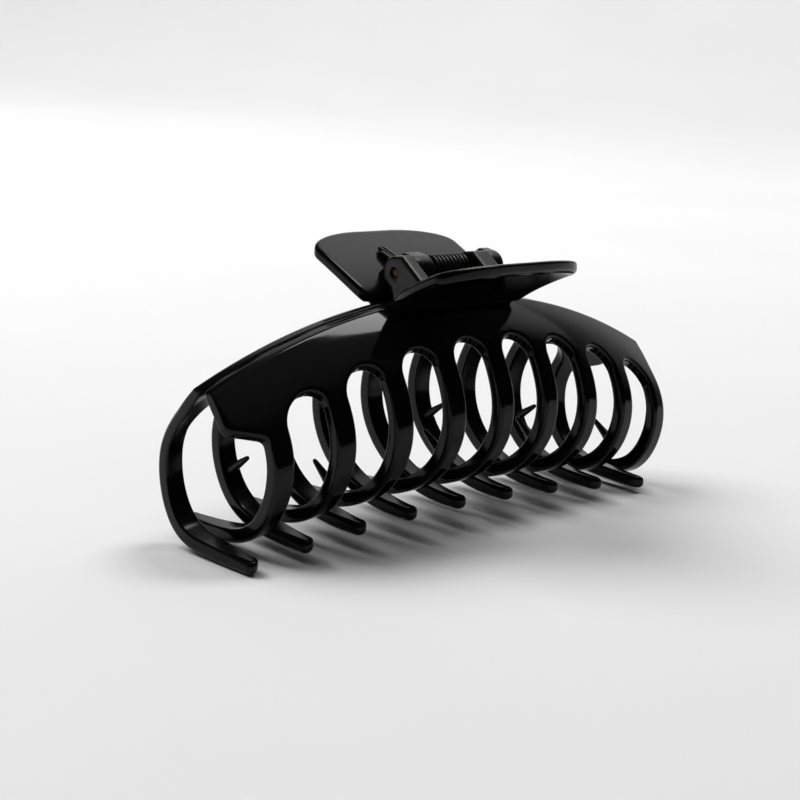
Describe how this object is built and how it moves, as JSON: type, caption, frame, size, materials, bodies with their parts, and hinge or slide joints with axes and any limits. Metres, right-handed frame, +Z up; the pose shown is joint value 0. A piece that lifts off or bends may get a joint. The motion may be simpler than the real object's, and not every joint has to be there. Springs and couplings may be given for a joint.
{
  "type": "jaw hair clip",
  "caption": "Large arched jaw clip for hair: two interlocking toothed jaws on a hinge pin, closed by a coil spring and opened with two flared thumb tabs.",
  "frame": {"origin": "middle of the clip in plan, on the surface that the closed clip stands on", "axes": "+X along the hinge pin and the clip's length, +Y across the jaws from the front jaw to the rear jaw, +Z up from the teeth to the thumb tabs"},
  "size_m": [0.1292, 0.0492, 0.0599],
  "materials": {
    "jaw_plastic": "polished black moulding",
    "pin_metal": "dull bronze",
    "spring_steel": "black coated wire"
  },
  "bodies": {
    "front": {"front_jaw": "jaw_plastic", "hinge_pin": "pin_metal", "torsion_spring": "spring_steel"},
    "rear": {"rear_jaw": "jaw_plastic"}
  },
  "joints": [
    {"name": "jaw_hinge", "type": "hinge", "parent": "front", "child": "rear", "pos_m": [0, 0, 0.05462], "axis": [1, 0, 0], "range_deg": [0, 65], "stiffness_Nm_per_rad": 0.15, "springref_deg": -40.11, "deforming": ["torsion_spring"]}
  ]
}
